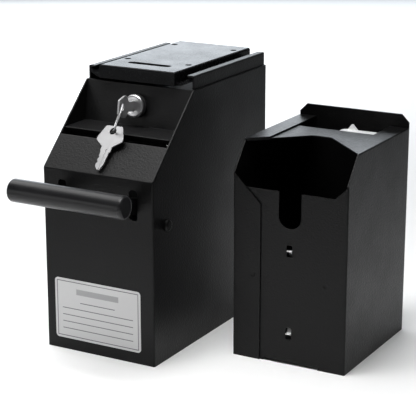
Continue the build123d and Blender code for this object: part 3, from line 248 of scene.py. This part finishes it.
def powder_grain():
    """Fine pebbled surface of powder coat, with slow changes of tone."""
    tree, given, result = effect(
        "Powder grain",
        [("Grains per metre", "NodeSocketFloat", 900.0), ("Mottles per metre", "NodeSocketFloat", 35.0)],
        [("Height", "NodeSocketFloat"), ("Tone", "NodeSocketFloat")],
    )
    where = place(tree, "ShaderNodeTexCoord").outputs["Object"]
    grain = place(tree, "ShaderNodeTexNoise", {
        "Vector": where, "Scale": given["Grains per metre"], "Detail": 2.0, "Roughness": 0.55})
    mottle = place(tree, "ShaderNodeTexNoise", {
        "Vector": where, "Scale": given["Mottles per metre"], "Detail": 5.0, "Roughness": 0.6})
    fleck = calculate(tree, "MULTIPLY", grain.outputs["Fac"], FLECK_SHARE)
    tone = calculate(tree, "MULTIPLY_ADD", mottle.outputs["Fac"], MOTTLE_SHARE, fleck)
    tree.links.new(grain.outputs["Fac"], result["Height"])
    tree.links.new(tone, result["Tone"])
    return tree


def drawn_grain():
    """Streaks left by rolling or polishing, longest along the axis with the fewest of them."""
    tree, given, result = effect(
        "Drawn grain",
        [("Streaks", "NodeSocketVector", (2000.0, 60.0, 2000.0))],
        [("Height", "NodeSocketFloat"), ("Tone", "NodeSocketFloat")],
    )
    where = place(tree, "ShaderNodeTexCoord").outputs["Object"]
    stretched = place(tree, "ShaderNodeVectorMath", {0: where, 1: given["Streaks"]}, operation="MULTIPLY")
    streak = place(tree, "ShaderNodeTexNoise", {"Vector": stretched.outputs[0], "Scale": 1.0, "Detail": 3.0})
    cloud = place(tree, "ShaderNodeTexNoise", {"Vector": where, "Scale": 120.0, "Detail": 4.0})
    haze = calculate(tree, "MULTIPLY", cloud.outputs["Fac"], CLOUD_SHARE)
    tone = calculate(tree, "MULTIPLY_ADD", streak.outputs["Fac"], STREAK_SHARE, haze)
    tree.links.new(streak.outputs["Fac"], result["Height"])
    tree.links.new(tone, result["Tone"])
    return tree


def inside_mask():
    """One inside the housing's walls and under its slope, nought on the faces that show."""
    low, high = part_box("housing_wrap")
    slope_top_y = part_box("top_tray")[0].y
    tree, given, result = effect(
        "Inside mask", [("Wall", "NodeSocketFloat", INSIDE_DEPTH)], [("Inside", "NodeSocketFloat")])
    where = place(tree, "ShaderNodeTexCoord").outputs["Object"]
    axes = place(tree, "ShaderNodeSeparateXYZ", {0: where}).outputs
    knee = low.z + KNEE_HEIGHT
    lean = Vector((slope_top_y - low.y, high.z - knee)).normalized()
    into_slope = (0.0, lean.y, -lean.x)
    depth = place(tree, "ShaderNodeVectorMath", {0: where, 1: into_slope}, operation="DOT_PRODUCT")
    under_slope = calculate(tree, "SUBTRACT", depth.outputs["Value"], low.y * lean.y - knee * lean.x)
    from_side = calculate(tree, "SUBTRACT", high.x, calculate(tree, "ABSOLUTE", axes["X"]))
    from_front = calculate(tree, "SUBTRACT", axes["Y"], low.y)
    least = calculate(tree, "MINIMUM", from_side, from_front)
    least = calculate(tree, "MINIMUM", least, under_slope)
    tree.links.new(calculate(tree, "GREATER_THAN", least, given["Wall"]), result["Inside"])
    return tree


def soft_edge():
    """Normals that round every cut edge a little."""
    tree, given, result = effect(
        "Soft edge", [("Radius", "NodeSocketFloat", 0.0005)], [("Normal", "NodeSocketVector")])
    rounded = place(tree, "ShaderNodeBevel", {"Radius": given["Radius"]}, samples=6)
    tree.links.new(rounded.outputs["Normal"], result["Normal"])
    return tree


def ruled_form(rule_count, rule_pitch, low, high):
    """Mask of a printed border, a heading bar and ruled lines on the label, from its own corners."""
    tree, given, result = effect(
        "Ruled form", [("Line width", "NodeSocketFloat", LINE_WIDTH)], [("Ink", "NodeSocketFloat")])
    where = place(tree, "ShaderNodeTexCoord").outputs["Object"]
    axes = place(tree, "ShaderNodeSeparateXYZ", {0: where}).outputs
    half_line = calculate(tree, "MULTIPLY", given["Line width"], 0.5)
    middle_x, middle_z = (low.x + high.x) / 2, (low.z + high.z) / 2
    half_x, half_z = (high.x - low.x) / 2, (high.z - low.z) / 2
    from_x = calculate(tree, "ABSOLUTE", calculate(tree, "SUBTRACT", axes["X"], middle_x))
    from_z = calculate(tree, "ABSOLUTE", calculate(tree, "SUBTRACT", axes["Z"], middle_z))

    def bar(height, half_height, half_width):
        """One on a level bar across the label's middle at this height, nought off it."""
        away = calculate(tree, "ABSOLUTE", calculate(tree, "SUBTRACT", axes["Z"], height))
        return calculate(
            tree, "MULTIPLY", calculate(tree, "LESS_THAN", away, half_height),
            calculate(tree, "LESS_THAN", from_x, half_width))

    past_x = calculate(tree, "SUBTRACT", from_x, half_x - BORDER_INSET)
    past_z = calculate(tree, "SUBTRACT", from_z, half_z - BORDER_INSET)
    from_border = calculate(tree, "ABSOLUTE", calculate(tree, "MAXIMUM", past_x, past_z))
    ink = calculate(tree, "LESS_THAN", from_border, half_line)
    first_rule = high.z - FIRST_RULE_DROP
    for i in range(rule_count):
        margin = RULE_MARGIN if i else FIRST_RULE_MARGIN
        rule = bar(first_rule - i * rule_pitch, half_line, half_x - margin)
        ink = calculate(tree, "MAXIMUM", ink, rule)
    heading = bar(high.z - HEADING_DROP, HEADING_HALF_HEIGHT, HEADING_HALF_WIDTH)
    heading = calculate(tree, "MULTIPLY", heading, HEADING_INK)
    tree.links.new(calculate(tree, "MAXIMUM", ink, heading), result["Ink"])
    return tree


# Materials


def shader(name):
    """New material with an empty Principled surface."""
    material = bpy.data.materials.new(name)
    material.use_nodes = True
    tree = material.node_tree
    tree.nodes.clear()
    surface = tree.nodes.new("ShaderNodeBsdfPrincipled")
    out = tree.nodes.new("ShaderNodeOutputMaterial")
    tree.links.new(surface.outputs["BSDF"], out.inputs["Surface"])
    return material, tree, surface


def shared(name, build):
    """The named node group, built the first time that it is asked for."""
    return bpy.data.node_groups.get(name) or build()


def fine_grain(tree, grains):
    """The powder grain effect, placed in a material with its own grains per metre."""
    grain = place(tree, "ShaderNodeGroup", {}, node_tree=shared("Powder grain", powder_grain))
    grain.inputs["Grains per metre"].default_value = grains
    return grain


def finish_surface(tree, surface, effect_node, colours, roughness, bump, edge):
    """Feed one effect's tone and height to the surface's colour, roughness and normal."""
    tone = effect_node.outputs["Tone"]
    tree.links.new(mix_colours(tree, tone, *colours), surface.inputs["Base Color"])
    rough = place(tree, "ShaderNodeMapRange", {
        "Value": tone, "From Min": TONE_RANGE[0], "From Max": TONE_RANGE[1],
        "To Min": roughness[0], "To Max": roughness[1]})
    tree.links.new(rough.outputs["Result"], surface.inputs["Roughness"])
    rounded = place(tree, "ShaderNodeGroup", {}, node_tree=shared("Soft edge", soft_edge))
    rounded.inputs["Radius"].default_value = edge
    relief = place(tree, "ShaderNodeBump", {
        "Height": effect_node.outputs["Height"], "Normal": rounded.outputs["Normal"],
        "Strength": bump[0], "Distance": bump[1]})
    tree.links.new(relief.outputs["Normal"], surface.inputs["Normal"])


def shade(colour, factor):
    """The colour made lighter or darker."""
    return tuple(min(1.0, channel * factor) for channel in colour[:3]) + (1.0,)


def powder_coat(name, colour, roughness, grains, edge, bump=COAT_BUMP, ior=1.28):
    """Textured powder coat, or a black plastic or rubber with the same grain."""
    material, tree, surface = shader(name)
    surface.inputs["IOR"].default_value = ior
    colours = [shade(colour, factor) for factor in COAT_SHADES]
    rough_range = [roughness + step for step in COAT_ROUGHNESS_STEPS]
    finish_surface(tree, surface, fine_grain(tree, grains), colours, rough_range, bump, edge)
    return material


def drawn_metal(name, colour, roughness, streaks, edge, bump=DRAWN_BUMP, metallic=1.0):
    """Bare or plated metal with a drawn or polished grain."""
    material, tree, surface = shader(name)
    grain = place(tree, "ShaderNodeGroup", {}, node_tree=shared("Drawn grain", drawn_grain))
    grain.inputs["Streaks"].default_value = streaks
    surface.inputs["Metallic"].default_value = metallic
    colours = [shade(colour, factor) for factor in METAL_SHADES]
    rough_range = [roughness * share for share in METAL_ROUGHNESS_SHARES]
    finish_surface(tree, surface, grain, colours, rough_range, bump, edge)
    return material


def dull_and_shade_inside(material):
    """Make the paint matt, and darker as painted shade, where the mask says that the surface is inside the
    housing.
    """
    tree = material.node_tree
    surface = next(node for node in tree.nodes if node.type == "BSDF_PRINCIPLED")
    mask = place(tree, "ShaderNodeGroup", {}, node_tree=shared("Inside mask", inside_mask)).outputs["Inside"]
    shown_roughness = surface.inputs["Roughness"].links[0].from_socket
    rough = place(tree, "ShaderNodeMix", {"Factor": mask, "A": shown_roughness, "B": 1.0})
    tree.links.new(rough.outputs["Result"], surface.inputs["Roughness"])
    # Painted shade: inside the housing the colour is mixed towards near-black
    shown_colour = surface.inputs["Base Color"].links[0].from_socket
    tree.links.new(mix_colours(tree, mask, shown_colour, INSIDE_PAINTED_SHADE), surface.inputs["Base Color"])
    return material


def coat(material, nodes):
    """Give the named CAD nodes this one material."""
    for node in nodes:
        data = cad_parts[node].data
        data.materials.clear()
        data.materials.append(material)


# Studio


def pale_floor(colour):
    """Lay a level floor round the safe."""
    mesh = bpy.data.meshes.new("studio_floor")
    floor = bpy.data.objects.new("studio_floor", mesh)
    bpy.context.scene.collection.objects.link(floor)
    grid = bmesh.new()
    bmesh.ops.create_grid(grid, x_segments=FLOOR_SQUARES, y_segments=FLOOR_SQUARES, size=FLOOR_REACH)
    grid.to_mesh(mesh)
    grid.free()
    material, tree, surface = shader("Pale floor")
    colours = [shade(colour, factor) for factor in FLOOR_SHADES]
    grain = fine_grain(tree, grains=300.0)
    finish_surface(tree, surface, grain, colours, FLOOR_ROUGHNESS, FLOOR_BUMP, edge=0.0)
    mesh.materials.append(material)


def white_surround(strength):
    """Set the white light that comes from all round."""
    world = bpy.data.worlds.new("White surround")
    world.use_nodes = True
    background = world.node_tree.nodes["Background"]
    background.inputs["Color"].default_value = (*WHITE, 1.0)
    background.inputs["Strength"].default_value = strength
    bpy.context.scene.world = world


def area_light(name, place_at, aim_at, size, watts, spread, colour):
    """Soft rectangular light that faces a point."""
    data = bpy.data.lights.new(name, "AREA")
    data.shape = "RECTANGLE"
    data.size, data.size_y = size
    data.energy = watts
    data.spread = math.radians(spread)
    data.color = colour
    light = bpy.data.objects.new(name, data)
    bpy.context.scene.collection.objects.link(light)
    light.location = place_at
    light.rotation_euler = (Vector(aim_at) - Vector(place_at)).to_track_quat("-Z", "Y").to_euler()
    return light


def studio_camera(lens):
    """Stand the camera at the photograph's viewing angle."""
    data = bpy.data.cameras.new("Camera")
    camera = bpy.data.objects.new("Camera", data)
    bpy.context.scene.collection.objects.link(camera)
    data.lens = lens
    data.sensor_width = SENSOR_WIDTH
    data.shift_x, data.shift_y = CAMERA_SHIFT
    data.clip_start, data.clip_end = CAMERA_CLIP
    camera.location = CAMERA_PLACE
    camera.rotation_euler = (math.radians(CAMERA_TILT), 0.0, math.radians(CAMERA_TURN))
    bpy.context.scene.camera = camera


# Operators, one for each group of pieces and one for the stage


class SAFE_OT_paint_housing(bpy.types.Operator):
    """Powder-coat the housing's sheets, matt with painted shade inside the wrap, lighten the lock panel as
    painted light, and enamel the pivot caps
    """

    bl_idname = "safe.paint_housing"
    bl_label = "Paint the housing"

    def execute(self, context):
        paint = settings("paint")
        powder = {
            "roughness": paint.housing_roughness,
            "grains": paint.grain_per_metre,
            "edge": paint.edge_radius,
        }
        coat(powder_coat("Housing powder coat", paint.housing_colour, **powder), HOUSING_NODES)
        wrap = powder_coat("Wrap powder coat", paint.housing_colour, **powder)
        coat(dull_and_shade_inside(wrap), ("housing_wrap",))
        # Painted light: the lock panel's coat is the housing colour made lighter, standing in for light on
        # the recessed panel
        panel_painted_light_colour = shade(paint.housing_colour, factor=2.8)
        coat(powder_coat("Lock panel coat", panel_painted_light_colour, **powder), ("lock_panel",))
        caps = powder_coat(
            "Cap enamel", paint.housing_colour, roughness=0.28, grains=paint.grain_per_metre, edge=0.0006)
        coat(caps, ("shaft_caps",))
        return {"FINISHED"}


class SAFE_OT_paint_bracket(bpy.types.Operator):
    """Powder-coat the counter bracket, smoother than the housing"""

    bl_idname = "safe.paint_bracket"
    bl_label = "Paint the counter bracket"

    def execute(self, context):
        paint = settings("paint")
        bracket = powder_coat(
            "Bracket powder coat", paint.bracket_colour, roughness=paint.bracket_roughness,
            grains=paint.grain_per_metre, edge=0.0003, bump=BRACKET_BUMP, ior=1.20)
        coat(bracket, ("counter_bracket",))
        return {"FINISHED"}


class SAFE_OT_paint_cassette(bpy.types.Operator):
    """Powder-coat the note cassette"""

    bl_idname = "safe.paint_cassette"
    bl_label = "Paint the cassette"

    def execute(self, context):
        paint = settings("paint")
        cassette = powder_coat(
            "Cassette powder coat", paint.cassette_colour, roughness=paint.cassette_roughness,
            grains=paint.grain_per_metre, edge=paint.edge_radius, bump=CASSETTE_BUMP)
        coat(cassette, CASSETTE_NODES)
        return {"FINISHED"}


class SAFE_OT_plate_metal(bpy.types.Operator):
    """Zinc-plate the working parts and brighten the leaf springs"""

    bl_idname = "safe.plate_metal"
    bl_label = "Plate the metal parts"

    def execute(self, context):
        metal = settings("metal")
        zinc = drawn_metal(
            "Zinc-plated steel", metal.zinc_colour, roughness=0.38, streaks=(60.0, 900.0, 900.0), edge=0.0003)
        coat(zinc, ZINC_NODES)
        spring = drawn_metal(
            "Bright spring steel", metal.spring_colour, roughness=0.42, streaks=(1200.0, 80.0, 1200.0),
            edge=0.0002, metallic=0.6)
        coat(spring, SPRING_NODES)
        return {"FINISHED"}


class SAFE_OT_chrome_lock(bpy.types.Operator):
    """Chrome the lock's metal and give its spacer black plastic"""

    bl_idname = "safe.chrome_lock"
    bl_label = "Finish the lock"

    def execute(self, context):
        metal = settings("metal")
        chrome = drawn_metal(
            "Satin chrome", metal.chrome_colour, roughness=0.34, streaks=(500.0, 500.0, 500.0),
            edge=0.0004, bump=LOCK_BUMP)
        coat(chrome, CHROME_NODES)
        spacer = powder_coat("Black moulded plastic", SPACER_BLACK, roughness=0.5, grains=1500.0, edge=0.0003)
        coat(spacer, ("lock_spacer",))
        return {"FINISHED"}


class SAFE_OT_finish_keys(bpy.types.Operator):
    """Nickel-plate the two keys and their ring"""

    bl_idname = "safe.finish_keys"
    bl_label = "Finish the keys"

    def execute(self, context):
        metal = settings("metal")
        hanging = drawn_metal(
            "Nickel-plated key", metal.nickel_colour, roughness=0.40, streaks=(500.0, 120.0, 120.0),
            edge=0.0003, bump=KEY_BUMP, metallic=0.85)
        coat(hanging, ("spare_key",))
        # Painted light: the key in the lock gets a lighter, less metallic copy of the nickel, standing in for
        # light on its face
        inserted = drawn_metal(
            "Worn key in the lock", shade(metal.nickel_colour, factor=1.15), roughness=0.38,
            streaks=(120.0, 500.0, 120.0), edge=0.0003, bump=KEY_BUMP, metallic=0.35)
        coat(inserted, ("key_in_lock",))
        ring = drawn_metal(
            "Ring wire", shade(metal.nickel_colour, factor=1.5), roughness=0.45,
            streaks=(300.0, 300.0, 300.0), edge=0.0001, bump=KEY_BUMP, metallic=0.5)
        coat(ring, ("key_ring",))
        return {"FINISHED"}


class SAFE_OT_finish_lever(bpy.types.Operator):
    """Give the push bar its grained plastic, the arms their black paint and the pusher its rubber"""

    bl_idname = "safe.finish_lever"
    bl_label = "Finish the lever"

    def execute(self, context):
        grip = powder_coat(
            "Grained grip plastic", GRIP_BLACK, roughness=0.31, grains=1400.0, edge=0.0004,
            bump=GRIP_BUMP, ior=1.38)
        coat(grip, GRIP_NODES)
        arms = powder_coat("Black arm paint", ARM_BLACK, roughness=0.6, grains=900.0, edge=0.0003, ior=1.12)
        coat(arms, ARM_NODES)
        rubber = powder_coat("Pad rubber", RUBBER_BLACK, roughness=0.7, grains=1200.0, edge=0.0004)
        coat(rubber, ("pusher_pad",))
        return {"FINISHED"}


class SAFE_OT_print_label(bpy.types.Operator):
    """Print a plain ruled form on the label plate"""

    bl_idname = "safe.print_label"
    bl_label = "Print the label"

    def execute(self, context):
        label = settings("label")
        low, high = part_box("label_plate")
        material, tree, surface = shader("Printed label")
        ruled = ruled_form(label.rule_count, label.rule_pitch, low, high)
        form = place(tree, "ShaderNodeGroup", {}, node_tree=ruled)
        grain = fine_grain(tree, grains=2500.0)
        faces = [shade(label.paper_colour, factor) for factor in LABEL_SHADES]
        face = mix_colours(tree, grain.outputs["Tone"], *faces)
        printed = mix_colours(tree, form.outputs["Ink"], face, tuple(label.ink_colour))
        tree.links.new(printed, surface.inputs["Base Color"])
        relief = place(tree, "ShaderNodeBump", {
            "Height": grain.outputs["Height"], "Strength": LABEL_BUMP[0], "Distance": LABEL_BUMP[1]})
        tree.links.new(relief.outputs["Normal"], surface.inputs["Normal"])
        surface.inputs["Roughness"].default_value = 0.35
        coat(material, ("label_plate",))
        return {"FINISHED"}


class SAFE_OT_build_stage(bpy.types.Operator):
    """Lay the pale floor, hang the lights and set the camera"""

    bl_idname = "safe.build_stage"
    bl_label = "Build the studio"

    def execute(self, context):
        stage = settings("stage")
        pale_floor(stage.floor_colour)
        white_surround(stage.surround_strength)
        for light in LIGHTS:
            area_light(*light)
        studio_camera(stage.lens)
        context.scene.view_settings.view_transform = "Standard"
        return {"FINISHED"}


OPERATORS = (
    SAFE_OT_paint_housing, SAFE_OT_paint_bracket, SAFE_OT_paint_cassette, SAFE_OT_plate_metal,
    SAFE_OT_chrome_lock, SAFE_OT_finish_keys, SAFE_OT_finish_lever, SAFE_OT_print_label,
    SAFE_OT_build_stage,
)
SETTINGS = {
    "paint": SafePaintSettings,
    "metal": SafeMetalSettings,
    "label": SafeLabelSettings,
    "stage": SafeStageSettings,
}


class SAFE_PT_panel(bpy.types.Panel):
    """Settings and steps for the note safe"""

    bl_idname = "SAFE_PT_panel"
    bl_label = "Note safe"
    bl_space_type = "VIEW_3D"
    bl_region_type = "UI"
    bl_category = "Note safe"

    def draw(self, context):
        for name, group in SETTINGS.items():
            box = self.layout.box()
            for key in group.__annotations__:
                box.prop(settings(name), key)
        for operator in OPERATORS:
            self.layout.operator(operator.bl_idname)


CLASSES = (*SETTINGS.values(), *OPERATORS, SAFE_PT_panel)


def register():
    """Add the classes and give the scene its settings."""
    for cls in CLASSES:
        bpy.utils.register_class(cls)
    for name, group in SETTINGS.items():
        setattr(bpy.types.Scene, "safe_" + name, PointerProperty(type=group))


def unregister():
    """Take the settings and the classes away again."""
    for name in SETTINGS:
        delattr(bpy.types.Scene, "safe_" + name)
    for cls in reversed(CLASSES):
        bpy.utils.unregister_class(cls)


def main():
    """Run every step in order."""
    register()
    for operator in OPERATORS:
        module, call = operator.bl_idname.split(".")
        getattr(getattr(bpy.ops, module), call)()


if __name__ == "__main__":
    main()
